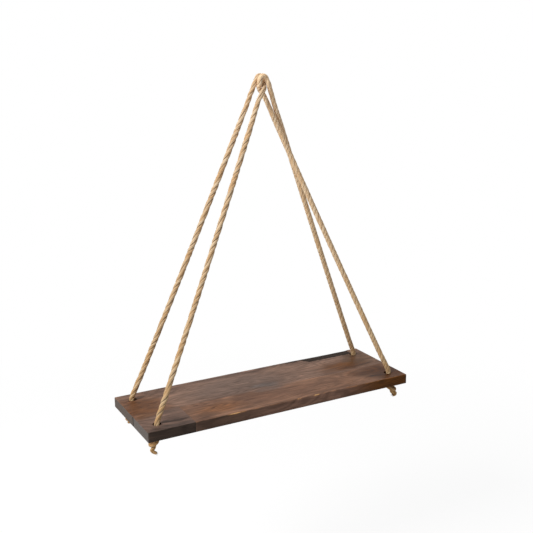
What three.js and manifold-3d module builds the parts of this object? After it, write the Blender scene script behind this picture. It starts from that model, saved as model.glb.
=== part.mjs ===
// A plank shelf that hangs from one hook on two ropes.
// Millimetres, Z up, X along the plank, Y towards the back.
// The origin is the top of the hook, where the two rope loops rest on it.
import * as THREE from 'three';
import { mergeVertices } from 'three/addons/utils/BufferGeometryUtils.js';
import Module from 'manifold-3d';

const wasm = await Module();
wasm.setup();

// Plank, glued up from three staves
const plankLength = 430;
const plankDepth = 140;
const plankThickness = 15;
const arrisRadius = 0.8;
const frontStaveWidth = 59;
const shortStaveLength = 70;

// Bored holes, one near each corner
const holeDiameter = 12;
const holeInset = 21;

// Rough strip that the planer missed along the back edge
const missedStripLength = 122;
const missedStripWidth = 16;
const missedStripDepth = 0.9;

// Ropes
const ropeDiameter = 8;
const hangHeight = 456;
const bightHalfLength = 14;
const neckStretch = 13;
const ropeCut = 0.3;
const legSag = 3.2;
const footRise = 2;
const footLean = 0.4;
const footDrop = 4;

// Stopper knots and the ends that are left below them
const knotRopeDiameter = 5.3;
const knotClearance = 0.4;
const knotSeatGap = 0.3;
const knotEntry = 3;
const tailDiameter = 7;
const tailTurn = 3.8;
const tailReach = 9;

// How finely round and bent surfaces are divided
const ropeSides = 12;
const holeSides = 40;
const arrisSteps = 3;
const bightSteps = 10;
const neckSteps = 3;
const legSteps = 6;
const footSteps = 5;
const tailSteps = 8;
const routeSamples = 3000;
const weldTolerance = 0.0003;

// Places that follow from the sizes above
const plankTop = -hangHeight;
const plankBottom = plankTop - plankThickness;
const seamY = frontStaveWidth - plankDepth / 2;
const jointX = shortStaveLength - plankLength / 2;
const holeX = plankLength / 2 - holeInset;
const holeY = plankDepth / 2 - holeInset;
const legEnd = plankBottom + knotEntry;
const knotSpacing = knotRopeDiameter + knotClearance;
const holePlay = (holeDiameter - ropeDiameter) / 2;

// Way of one rope round the hook, in rope diameters, from its back leg over the top to its front leg.
// The left rope's loop lies at the back of the hook, and its front leg crosses under the hook.
const leftHookShares = [
  [-2.22, 0.66, -3.5],
  [-1.73, 0.63, -2.12],
  [-1.4, 0.64, -1.06],
  [-1.09, 0.62, -0.47],
  [-0.85, 0.53, -0.11],
  [-0.54, 0.54, 0.31],
  [-0.08, 0.56, 0.5],
  [0.39, 0.55, 0.38],
  [0.7, 0.52, -0.01],
  [0.72, 0.43, -0.52],
  [0.56, 0.09, -1.01],
  [0.44, -0.33, -1.41],
  [0.09, -0.62, -1.79],
  [-0.22, -0.73, -2.23],
  [-0.46, -0.81, -2.68],
  [-0.98, -0.8, -3.53],
];

// The right rope goes the other way round the front of the hook and crosses behind the left one.
const rightHookShares = [
  [2.17, -0.13, -3.53],
  [1.7, -0.39, -2.14],
  [1.41, -0.64, -1.05],
  [1.14, -0.61, -0.47],
  [0.94, -0.53, -0.11],
  [0.65, -0.55, 0.29],
  [0.11, -0.56, 0.5],
  [-0.39, -0.55, 0.38],
  [-0.68, -0.53, 0],
  [-0.7, -0.43, -0.52],
  [-0.55, -0.11, -1.01],
  [-0.44, 0.25, -1.41],
  [-0.13, 0.48, -1.8],
  [0.2, 0.44, -2.25],
  [0.5, 0.36, -2.66],
  [0.97, 0.28, -3.54],
];

// Where the points of a leg lie between the hook and the plank, as shares of its height.
const legPointShares = [0.08, 0.25, 0.5, 0.75, 0.92];

// The missed strip widens and deepens from its thin end to the hole: along, width, depth.
const missedStripShares = [
  [0, 0.1, 0.1],
  [0.2, 0.6, 0.45],
  [0.4, 0.8, 0.75],
  [0.7, 0.95, 1],
  [1, 1, 0.9],
];

// One half of the stopper knot: a turn that closes up and dives back through its own middle.
const knotTurnDegrees = 253;
const knotTightenFromDegrees = 150;
const knotHalfShares = { width: 1.09, depth: 1.17, rise: 1.07, pitch: 0.79, tighten: 0.7, lead: 1.76 };
const knotLeadShares = { leave: 0.81, arrive: 1.8 };
const knotHalfPoints = 14;
const knotLeadPoints = 4;

// Each corner: side along X, side along Y, how far the rope leans outwards in its hole as a share of
// the play there, the knot's turn in degrees, and the bend and the end of its tail in tail reaches.
const cornerShares = {
  left_back: { x: -1, y: 1, lean: 0.8, turn: 105, bend: [0.48, 0.07, -0.61], end: [0.77, 0.34, -0.56] },
  left_front: { x: -1, y: -1, lean: 0, turn: 200, bend: [-0.59, -0.1, -0.53], end: [-0.31, -0.28, -1.06] },
  right_back: { x: 1, y: 1, lean: 0.7, turn: 20, bend: [0.15, 0.27, -0.68], end: [0.31, 0.73, -0.66] },
  right_front: { x: 1, y: -1, lean: 0.85, turn: -40, bend: [0.49, -0.11, -0.69], end: [0.95, -0.16, -0.41] },
};

const woodMaterial = new THREE.MeshStandardMaterial({ color: 0x6b5041, roughness: 0.7, metalness: 0 });
const darkWoodMaterial = new THREE.MeshStandardMaterial({ color: 0x4a423c, roughness: 0.7, metalness: 0 });
const ropeMaterial = new THREE.MeshStandardMaterial({ color: 0xc8a880, roughness: 0.95, metalness: 0 });

// Solids

function toSolid(geometry) {
  const bare = geometry.clone();
  bare.deleteAttribute('normal');
  bare.deleteAttribute('uv');
  const merged = mergeVertices(bare, weldTolerance);
  const vertProperties = new Float32Array(merged.attributes.position.array);
  const triVerts = new Uint32Array(merged.index.array);
  return new wasm.Manifold(new wasm.Mesh({ numProp: 3, vertProperties, triVerts }));
}

function toGeometry(solid) {
  const mesh = solid.getMesh();
  const geometry = new THREE.BufferGeometry();
  geometry.setAttribute('position', new THREE.BufferAttribute(mesh.vertProperties, 3));
  geometry.setIndex(new THREE.BufferAttribute(mesh.triVerts, 1));
  geometry.computeVertexNormals();
  return geometry;
}

function block(x0, x1, y0, y1, z0, z1) {
  const geometry = new THREE.BoxGeometry(x1 - x0, y1 - y0, z1 - z0);
  geometry.translate((x0 + x1) / 2, (y0 + y1) / 2, (z0 + z1) / 2);
  return geometry;
}

function roundedOutline(width, height) {
  const halfWidth = width / 2 - arrisRadius;
  const halfHeight = height / 2 - arrisRadius;
  const outline = new THREE.Shape();
  const quarter = Math.PI / 2;
  outline.absarc(halfWidth, halfHeight, arrisRadius, 0, quarter);
  outline.absarc(-halfWidth, halfHeight, arrisRadius, quarter, 2 * quarter);
  outline.absarc(-halfWidth, -halfHeight, arrisRadius, 2 * quarter, 3 * quarter);
  outline.absarc(halfWidth, -halfHeight, arrisRadius, 3 * quarter, 4 * quarter);
  return outline;
}

function roundedBar(width, height, length) {
  const options = { depth: length, bevelEnabled: false, curveSegments: arrisSteps };
  const geometry = new THREE.ExtrudeGeometry(roundedOutline(width, height), options);
  geometry.translate(0, 0, -length / 2);
  return geometry;
}

// Plank

function plankBlank() {
  const alongX = roundedBar(plankDepth, plankThickness, plankLength);
  alongX.rotateX(Math.PI / 2).rotateZ(Math.PI / 2);
  const alongY = roundedBar(plankLength, plankThickness, plankDepth);
  alongY.rotateX(Math.PI / 2);
  const alongZ = roundedBar(plankLength, plankDepth, plankThickness);
  const middleZ = (plankTop + plankBottom) / 2;
  const blank = toSolid(alongX).intersect(toSolid(alongY)).intersect(toSolid(alongZ));
  return blank.translate([0, 0, middleZ]);
}

function holeBore(corner) {
  const bore = new THREE.CylinderGeometry(
    holeDiameter / 2, holeDiameter / 2, 2 * plankThickness, holeSides,
  );
  bore.rotateX(Math.PI / 2);
  bore.translate(corner.x * holeX, corner.y * holeY, (plankTop + plankBottom) / 2);
  return toSolid(bore);
}

// A cutter for the missed strip, lofted from one wedge section to the next.
function missedStripCutter() {
  const back = plankDepth / 2;
  const over = missedStripDepth;
  const positions = [];
  const index = [];
  for (const [along, width, depth] of missedStripShares) {
    const x = holeX - missedStripLength * (1 - along);
    const innerY = back - missedStripWidth * width;
    const lowZ = plankTop - missedStripDepth * depth;
    positions.push(x, innerY, plankTop, x, back + over, lowZ);
    positions.push(x, back + over, plankTop + over, x, innerY, plankTop + over);
  }
  const last = 4 * (missedStripShares.length - 1);
  index.push(0, 2, 1, 0, 3, 2, last, last + 1, last + 2, last, last + 2, last + 3);
  for (let station = 0; station < last; station += 4) {
    for (let side = 0; side < 4; side += 1) {
      const here = station + side;
      const next = station + ((side + 1) % 4);
      index.push(here, next, next + 4, here, next + 4, here + 4);
    }
  }
  const geometry = new THREE.BufferGeometry();
  geometry.setAttribute('position', new THREE.Float32BufferAttribute(positions, 3));
  geometry.setIndex(index);
  return toSolid(geometry);
}

function boredPlank() {
  let plank = plankBlank();
  for (const corner of Object.values(cornerShares)) plank = plank.subtract(holeBore(corner));
  return plank.subtract(missedStripCutter());
}

function stave(plank, x0, x1, y0, y1) {
  const clip = block(x0, x1, y0, y1, plankBottom - plankThickness, plankTop + plankThickness);
  return toGeometry(plank.intersect(toSolid(clip)));
}

// Rope routes

function hookPoints(shares) {
  return shares.map(([x, y, z]) => new THREE.Vector3(x, y, z).multiplyScalar(ropeDiameter));
}

// Where a rope stands in its hole at a height.
function inHole(corner, z) {
  return new THREE.Vector3(corner.x * (holeX + corner.lean * holePlay), corner.y * holeY, z);
}

function legPoints(neck, corner) {
  const foot = inHole(corner, plankTop + footRise);
  foot.x -= corner.x * footLean;
  const points = legPointShares.map((share) => {
    const point = neck.clone().lerp(foot, share);
    point.z -= 4 * legSag * share * (1 - share);
    return point;
  });
  return [...points, foot, inHole(corner, plankTop - footDrop), inHole(corner, legEnd)];
}

function ropeRoute(hookShares, backCorner, frontCorner) {
  const hook = hookPoints(hookShares);
  const backLeg = legPoints(hook[0], backCorner).reverse();
  const frontLeg = legPoints(hook[hook.length - 1], frontCorner);
  const route = new THREE.CatmullRomCurve3([...backLeg, ...hook, ...frontLeg], false, 'centripetal');
  route.arcLengthDivisions = routeSamples;
  return route;
}

// Length along the route at which it passes over the top of the hook.
function topOfRoute(route) {
  let best = 0;
  for (let k = 1; k <= routeSamples; k += 1) {
    if (route.getPointAt(k / routeSamples).z > route.getPointAt(best / routeSamples).z) best = k;
  }
  return (best / routeSamples) * route.getLength();
}

// A part of a route whose steps lie where the marks, lengths along the route, put them.
class Stretch extends THREE.Curve {
  constructor(route, marks) {
    super();
    this.route = route;
    this.marks = marks;
  }

  shareAt(t) {
    const place = t * (this.marks.length - 1);
    const step = Math.min(Math.floor(place), this.marks.length - 2);
    const along = THREE.MathUtils.lerp(this.marks[step], this.marks[step + 1], place - step);
    return THREE.MathUtils.clamp(along / this.route.getLength(), 0, 1);
  }

  getPoint(t) {
    return this.route.getPointAt(this.shareAt(t));
  }

  getPointAt(u) {
    return this.getPoint(u);
  }

  getTangentAt(u) {
    return this.route.getTangentAt(this.shareAt(u));
  }
}

function evenMarks(from, to, steps) {
  return Array.from({ length: steps + 1 }, (_, k) => from + ((to - from) * k) / steps);
}

function tube(path, steps, diameter) {
  const section = new THREE.Shape();
  section.absarc(0, 0, diameter / 2, 0, 2 * Math.PI);
  const options = { steps, bevelEnabled: false, curveSegments: ropeSides / 2, extrudePath: path };
  const geometry = new THREE.ExtrudeGeometry(section, options);
  geometry.deleteAttribute('normal');
  geometry.deleteAttribute('uv');
  return mergeVertices(geometry, weldTolerance);
}

function ropeStretch(route, marks) {
  const rising = [...marks].sort((a, b) => a - b);
  return tube(new Stretch(route, rising), rising.length - 1, ropeDiameter);
}

// Knots

function smoothLead(from, direction, to) {
  const span = from.distanceTo(to);
  const down = new THREE.Vector3(0, 0, -1);
  const first = from.clone().addScaledVector(direction, (span * knotLeadShares.leave) / 3);
  const second = to.clone().addScaledVector(down, (-span * knotLeadShares.arrive) / 3);
  return new THREE.CubicBezierCurve3(from, first, second, to);
}

function knotTurnPoint(degrees) {
  const half = knotHalfShares;
  const late = Math.max(0, degrees - knotTightenFromDegrees) / (knotTurnDegrees - knotTightenFromDegrees);
  const reach = 1 - half.tighten * late * late;
  const angle = THREE.MathUtils.degToRad(degrees);
  const climb = THREE.MathUtils.degToRad(degrees * half.pitch);
  return new THREE.Vector3(
    -half.width * reach * Math.cos(angle),
    half.depth * reach * Math.sin(angle),
    half.rise * Math.sin(climb),
  );
}

// From the middle of the knot to where the rope leaves it, in rope widths, rope axis on Z.
function knotHalf() {
  const turn = [];
  for (let k = 0; k <= knotHalfPoints; k += 1) {
    turn.push(knotTurnPoint((knotTurnDegrees * k) / knotHalfPoints));
  }
  const before = knotTurnPoint(knotTurnDegrees * (1 - 1 / (knotHalfPoints * knotHalfPoints)));
  const last = turn[turn.length - 1];
  const direction = last.clone().sub(before).normalize();
  const end = new THREE.Vector3(0, 0, -knotHalfShares.lead);
  const lead = smoothLead(last, direction, end);
  for (let k = 1; k <= knotLeadPoints; k += 1) turn.push(lead.getPoint(k / knotLeadPoints));
  return turn;
}

function knotCentreZ() {
  const rise = knotHalfShares.rise * knotSpacing + knotRopeDiameter / 2;
  return plankBottom - knotSeatGap - rise;
}

// The other half of the knot is the first half turned half round the knot's cross axis.
function knotRoute(corner) {
  const lower = knotHalf();
  const upper = lower.slice(1).reverse().map((p) => new THREE.Vector3(p.x, -p.y, -p.z));
  const axis = new THREE.Vector3(0, 0, 1);
  const place = inHole(corner, knotCentreZ());
  const turn = THREE.MathUtils.degToRad(corner.turn);
  const points = [...upper, ...lower].map(
    (p) => p.clone().multiplyScalar(knotSpacing).applyAxisAngle(axis, turn).add(place),
  );
  points.unshift(inHole(corner, legEnd - ropeCut));
  return new THREE.CatmullRomCurve3(points, false, 'centripetal');
}

function knotSolid(route) {
  const steps = 2 * (knotHalfPoints + knotLeadPoints) + knotHalfPoints;
  route.arcLengthDivisions = routeSamples;
  return tube(route, steps, knotRopeDiameter);
}

function tailSolid(route, corner) {
  const start = route.getPointAt(1);
  start.z -= ropeCut;
  const turn = start.clone();
  turn.z -= tailTurn;
  const reachFrom = (shares) => start.clone().addScaledVector(new THREE.Vector3(...shares), tailReach);
  const path = new THREE.CubicBezierCurve3(start, turn, reachFrom(corner.bend), reachFrom(corner.end));
  return tube(path, tailSteps, tailDiameter);
}

// Measuring

function leastDistance(first, second, apart) {
  const samples = 600;
  let least = Infinity;
  const a = first.getSpacedPoints(samples);
  const b = second.getSpacedPoints(samples);
  const skip = first === second ? Math.ceil((apart / first.getLength()) * samples) : 0;
  for (let i = 0; i <= samples; i += 1) {
    for (let j = first === second ? i + skip : 0; j <= samples; j += 1) {
      least = Math.min(least, a[i].distanceTo(b[j]));
    }
  }
  return least;
}

// Assembly

const shelf = new THREE.Group();
shelf.name = 'hanging_rope_shelf';

function add(name, geometry, material) {
  const mesh = new THREE.Mesh(geometry, material);
  mesh.name = name;
  shelf.add(mesh);
}

function addPlank() {
  const plank = boredPlank();
  const end = plankLength / 2;
  const edge = plankDepth / 2;
  add('front_stave_short', stave(plank, -end, jointX, -edge, seamY), darkWoodMaterial);
  add('front_stave_long', stave(plank, jointX, end, -edge, seamY), woodMaterial);
  add('back_stave', stave(plank, -end, end, seamY, edge), woodMaterial);
}

// Marks of one side of a rope, going down from the top of the hook.
function sideMarks(top, direction, ending) {
  const at = (length) => top + direction * length;
  const upper = evenMarks(at(bightHalfLength + ropeCut), at(bightHalfLength + neckStretch), neckSteps);
  const lowerFrom = bightHalfLength + neckStretch + ropeCut;
  const lower = evenMarks(at(lowerFrom), at(lowerFrom + neckStretch), neckSteps);
  const legFrom = at(lowerFrom + neckStretch + ropeCut);
  const bend = ending - direction * 3 * ropeDiameter;
  const leg = [...evenMarks(legFrom, bend, legSteps), ...evenMarks(bend, ending, footSteps).slice(1)];
  return { upper, lower, leg };
}

function addRopeSide(route, top, direction, name) {
  const marks = sideMarks(top, direction, direction < 0 ? 0 : route.getLength());
  add(`${name}_upper_neck`, ropeStretch(route, marks.upper), ropeMaterial);
  add(`${name}_lower_neck`, ropeStretch(route, marks.lower), ropeMaterial);
  add(`${name}_leg`, ropeStretch(route, marks.leg), ropeMaterial);
}

function addRope(side, route) {
  const top = topOfRoute(route);
  const bight = evenMarks(top - bightHalfLength, top + bightHalfLength, bightSteps);
  add(`${side}_rope_bight`, ropeStretch(route, bight), ropeMaterial);
  addRopeSide(route, top, -1, `${side}_back`);
  addRopeSide(route, top, 1, `${side}_front`);
}

function addKnot(name, corner) {
  const route = knotRoute(corner);
  add(`${name}_knot`, knotSolid(route), ropeMaterial);
  add(`${name}_tail`, tailSolid(route, corner), ropeMaterial);
}

const leftRoute = ropeRoute(leftHookShares, cornerShares.left_back, cornerShares.left_front);
const rightRoute = ropeRoute(rightHookShares, cornerShares.right_back, cornerShares.right_front);
addPlank();
addRope('left', leftRoute);
addRope('right', rightRoute);
for (const [name, corner] of Object.entries(cornerShares)) addKnot(name, corner);

const knotSample = knotRoute(cornerShares.left_front);
const knotGap = leastDistance(knotSample, knotSample, 2 * knotRopeDiameter) - knotRopeDiameter;
const crossingGap = leastDistance(leftRoute, rightRoute, 0) - ropeDiameter;
console.log(`least gap between the ropes ${crossingGap.toFixed(2)} mm`);
console.log(`least gap of a knot to itself ${knotGap.toFixed(2)} mm`);
console.log(`rope in a knot ${knotSample.getLength().toFixed(1)} mm`);
console.log(`left rope between its knots ${leftRoute.getLength().toFixed(1)} mm`);
console.log(`right rope between its knots ${rightRoute.getLength().toFixed(1)} mm`);

export default shelf;
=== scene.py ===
# %% [markdown]
# # A plank shelf hanging on two laid ropes
# The real shelf is one stained board, glued up from three staves, that hangs in two rope loops. A
# finished CAD model fixes every size and every joint. This lesson dresses it: plain tubes become
# laid jute rope with real strands, and plain staves become a worn board.
#
# Everything is in metres. The origin is the top of the hook that carries the shelf, X runs along
# the board to the right, Y from its front edge to its back edge, and Z up.

# %% Load the fixed model
import math
from functools import partial

import bpy
import numpy as np
from mathutils import Matrix, Vector


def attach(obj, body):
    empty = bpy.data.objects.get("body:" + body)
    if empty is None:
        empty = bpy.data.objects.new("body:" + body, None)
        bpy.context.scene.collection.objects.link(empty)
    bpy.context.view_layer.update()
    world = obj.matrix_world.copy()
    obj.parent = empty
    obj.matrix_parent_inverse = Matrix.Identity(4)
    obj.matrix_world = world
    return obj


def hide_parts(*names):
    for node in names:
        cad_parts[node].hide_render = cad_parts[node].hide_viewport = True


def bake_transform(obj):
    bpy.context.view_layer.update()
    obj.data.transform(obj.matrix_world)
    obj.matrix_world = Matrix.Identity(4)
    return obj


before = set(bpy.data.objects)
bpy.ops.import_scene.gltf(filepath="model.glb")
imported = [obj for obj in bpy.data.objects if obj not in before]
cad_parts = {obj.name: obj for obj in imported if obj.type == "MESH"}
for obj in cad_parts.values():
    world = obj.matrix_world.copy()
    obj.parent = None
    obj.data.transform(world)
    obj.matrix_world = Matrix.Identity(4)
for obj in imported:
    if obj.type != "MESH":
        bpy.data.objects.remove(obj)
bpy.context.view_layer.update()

# %% [markdown]
# ## Sizes
# These repeat the CAD model's sizes, because the pieces made here have to lie where its solids lie.
# A length in millimetres is written as a number times `MM`. The knots are this lesson's own: their
# rope is pulled a little thinner than the CAD model's. At each corner, `lean` is how far the rope
# stands to the outer side of its hole, `turn` and `slant` how its knot is turned and leans over,
# `bend` and `end` where its cut end goes, and `splay` how far the strands open there. `LEG_STOP` is
# how far above the board's underside a leg ends and its knot's rope begins, and `CUT` the gap that
# the CAD model leaves between two pieces of one rope.

# %% Sizes
MM = 0.001
PLANK_LENGTH, PLANK_DEPTH, PLANK_THICKNESS = 430 * MM, 140 * MM, 15 * MM
SEAM_FROM_FRONT, SHORT_STAVE = 59 * MM, 70 * MM
HANG_HEIGHT = 456 * MM
HALF_LENGTH, HALF_DEPTH = PLANK_LENGTH / 2, PLANK_DEPTH / 2
TOP_Z, BOTTOM_Z = -HANG_HEIGHT, -HANG_HEIGHT - PLANK_THICKNESS
SEAM_Y, JOINT_X = SEAM_FROM_FRONT - HALF_DEPTH, SHORT_STAVE - HALF_LENGTH
HOLE_INSET, HOLE_RADIUS = 21 * MM, 6 * MM
HOLE_X, HOLE_Y = HALF_LENGTH - HOLE_INSET, HALF_DEPTH - HOLE_INSET
ROPE = 8 * MM
HOLE_PLAY = HOLE_RADIUS - ROPE / 2
KNOT_ROPE, KNOT_SPACING = 5.2 * MM, 5.2 * MM
LEG_STOP, CUT = 3 * MM, 0.3 * MM
LEG_END_Z = BOTTOM_Z + LEG_STOP
CORNERS = {
    "left_back": dict(x=-1, y=1, lean=0.8, turn=-112, slant=-0.13, bend=(0.5, 0.09, -0.25),
                      end=(-0.28, 0.69, -0.35), splay=1),
    "left_front": dict(x=-1, y=-1, lean=0, turn=235, slant=-0.33, bend=(-0.85, 0.15, -0.3),
                       end=(0.3, -0.2, -1.08), splay=-0.7),
    "right_back": dict(x=1, y=1, lean=0.7, turn=20, slant=0, bend=(0.15, 0.27, -0.68),
                       end=(0.31, 0.73, -0.66), splay=1),
    "right_front": dict(x=1, y=-1, lean=0.85, turn=27, slant=0.38, bend=(1.25, -0.2, -0.4),
                        end=(0.28, 0, -0.9), splay=1),
}
print("board", PLANK_LENGTH, PLANK_DEPTH, PLANK_THICKNESS)

# %% [markdown]
# ## Camera
# The photograph was taken from the front left and a little above. A camera could be moved by eye
# until the picture fits, but here its angle, height, roll and distance were worked out from the
# board's corners, its holes and the top of the ropes, so the perspective is right and not only the
# outline.

# %% Camera
CAMERA = dict(azimuth=-28.232, elevation=14.097, roll=-0.592)
CAMERA_DISTANCE, CAMERA_CLIP = 1.236963, (0.05, 30)
TARGET = Vector((5.021 * MM, 0, 186.181 * MM - HANG_HEIGHT))
FOCAL_PIXELS, PICTURE_PIXELS, SENSOR = 839.779, 533, 36


def camera_axes(azimuth, elevation, roll):
    """Right, up and backward directions of a camera that looks along +Y at azimuth zero."""
    a, e, r = (math.radians(v) for v in (azimuth, elevation, roll))
    back = Vector((math.sin(a) * math.cos(e), -math.cos(a) * math.cos(e), math.sin(e)))
    right = Vector((math.cos(a), math.sin(a), 0))
    up = back.cross(right)
    return math.cos(r) * right + math.sin(r) * up, math.cos(r) * up - math.sin(r) * right, back


def link_object(name, data):
    """Makes an object of a mesh, a camera or a light and puts it into the scene."""
    made = bpy.data.objects.new(name, data)
    bpy.context.collection.objects.link(made)
    return made


right, up, back = camera_axes(**CAMERA)
camera_data = bpy.data.cameras.new("camera")
camera_data.sensor_width = SENSOR
camera_data.lens = SENSOR * FOCAL_PIXELS / PICTURE_PIXELS
camera_data.clip_start, camera_data.clip_end = CAMERA_CLIP
camera = link_object("camera", camera_data)
place = TARGET + back * CAMERA_DISTANCE
turned = Matrix((right, up, back)).transposed().to_4x4()
camera.matrix_world = Matrix.Translation(place) @ turned
bpy.context.scene.camera = camera
print("camera at", [round(v, 3) for v in place])

# %% [markdown]
# ## The ropes' routes
# Each rope runs from a knot under a back hole, up over the hook and down to a knot under a front
# hole. It could be drawn by hand as a Bezier curve, but a smooth curve through a few points can be
# repeated exactly in the CAD model and here. The points near the hook are in rope diameters. The
# left rope loops over the back of the hook, the right rope over its front, and their front legs
# cross beneath it. Real ropes press each other flat there, so `HOOK_SQUEEZE` draws them closer
# together near the hook than the CAD model's round tubes can lie.

# %% Points of the routes
LEFT_HOOK = [
    (-2.22, 0.66, -3.5), (-1.73, 0.63, -2.12), (-1.4, 0.64, -1.06), (-1.09, 0.62, -0.47),
    (-0.85, 0.53, -0.11), (-0.54, 0.54, 0.31), (-0.08, 0.56, 0.5), (0.39, 0.55, 0.38),
    (0.7, 0.52, -0.01), (0.72, 0.43, -0.52), (0.56, 0.09, -1.01), (0.44, -0.33, -1.41),
    (0.09, -0.62, -1.79), (-0.22, -0.73, -2.23), (-0.46, -0.81, -2.68), (-0.98, -0.8, -3.53),
]
RIGHT_HOOK = [
    (2.17, -0.13, -3.53), (1.7, -0.39, -2.14), (1.41, -0.64, -1.05), (1.14, -0.61, -0.47),
    (0.94, -0.53, -0.11), (0.65, -0.55, 0.29), (0.11, -0.56, 0.5), (-0.39, -0.55, 0.38),
    (-0.68, -0.53, 0), (-0.7, -0.43, -0.52), (-0.55, -0.11, -1.01), (-0.44, 0.25, -1.41),
    (-0.13, 0.48, -1.8), (0.2, 0.44, -2.25), (0.5, 0.36, -2.66), (0.97, 0.28, -3.54),
]
HOOK_SQUEEZE, SQUEEZE_Z = 0.22, (-24 * MM, -4 * MM)
LEG_SHARES = (0.08, 0.25, 0.5, 0.75, 0.92)
LEG_SAG, FOOT_RISE, FOOT_LEAN, FOOT_DROP = 3.2 * MM, 2 * MM, 0.4 * MM, 4 * MM


def in_hole(corner, z):
    """Where a rope stands in its hole at a height: it leans out by a share of its play."""
    outwards = HOLE_X + corner["lean"] * HOLE_PLAY
    return np.array([corner["x"] * outwards, corner["y"] * HOLE_Y, z])


def leg_points(neck, corner):
    """Points from the neck down into the hole: a straight line that sags by 4 s t (1 - t)."""
    foot = in_hole(corner, TOP_Z + FOOT_RISE) - (corner["x"] * FOOT_LEAN, 0, 0)
    t = np.array(LEG_SHARES)[:, None]
    points = neck + (foot - neck) * t
    points[:, 2] -= (4 * LEG_SAG * t * (1 - t))[:, 0]
    return np.vstack([points, foot, in_hole(corner, TOP_Z - FOOT_DROP), in_hole(corner, LEG_END_Z)])


print("points near the hook", len(LEFT_HOOK), len(RIGHT_HOOK))

# %% Smooth curves
CURVE_STEPS = 60


def smooth_step(value, low, high):
    """Zero below low, one above high and a smooth climb, 3 t^2 - 2 t^3, between."""
    t = np.clip((value - low) / (high - low), 0, 1)
    return t * t * (3 - 2 * t)


def smooth_curve(points, steps=CURVE_STEPS):
    """Centripetal Catmull-Rom curve through the points: each piece is the cubic whose end slopes
    come from its neighbours, weighted by the square roots of the distances between the points."""
    p = np.vstack([2 * points[0] - points[1], points, 2 * points[-1] - points[-2]])
    gap = np.sqrt(np.linalg.norm(np.diff(p, axis=0), axis=1))[:, None]
    before, here, after = gap[:-2], gap[1:-1], gap[2:]
    a, b, c, d = p[:-3], p[1:-2], p[2:-1], p[3:]
    start = ((b - a) / before - (c - a) / (before + here) + (c - b) / here) * here
    end = ((c - b) / here - (d - b) / (here + after) + (d - c) / after) * here
    t = np.linspace(0, 1, steps, endpoint=False)[None, :, None]
    b, c, start, end = (v[:, None] for v in (b, c, start, end))
    square, cube = 3 * (c - b) - 2 * start - end, 2 * (b - c) + start + end
    return np.vstack([(b + start * t + square * t**2 + cube * t**3).reshape(-1, 3), points[-1:]])


def lengths_along(curve):
    """Length from the start to each point of a curve: the running sum of its steps."""
    return np.r_[0, np.cumsum(np.linalg.norm(np.diff(curve, axis=0), axis=1))]


def at_lengths(curve, where):
    """Points of a curve at given lengths along it."""
    along = lengths_along(curve)
    return np.stack([np.interp(where, along, curve[:, k]) for k in range(3)], -1)


def rope_curve(hook, back_corner, front_corner):
    """One rope's whole route, from its back hole over the hook to its front hole."""
    hook = np.array(hook) * ROPE
    back_leg = leg_points(hook[0], CORNERS[back_corner])[::-1]
    curve = smooth_curve(np.vstack([back_leg, hook, leg_points(hook[-1], CORNERS[front_corner])]))
    curve[:, 0] *= 1 - HOOK_SQUEEZE * smooth_step(curve[:, 2], *SQUEEZE_Z)
    return curve


curves = {
    "left": rope_curve(LEFT_HOOK, "left_back", "left_front"),
    "right": rope_curve(RIGHT_HOOK, "right_back", "right_front"),
}
for side, curve in curves.items():
    print(side, "rope between its knots", round(lengths_along(curve)[-1], 4), "m")

# %% [markdown]
# ## Helpers for meshes
# Every piece is a surface worked out as whole arrays of points, which numpy does much faster than a
# loop. `Patches` gathers several such grids, and the named values that their materials read, into
# one mesh. `waves` stands for the small unevenness of handmade things, and the last value of each
# call of it is a seed.

# %% Mesh helpers


def faces_of(corners, sides):
    """An array of faces with so many sides, empty where there are none."""
    return np.zeros((0, sides), int) if corners is None else np.asarray(corners).reshape(-1, sides)


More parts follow.
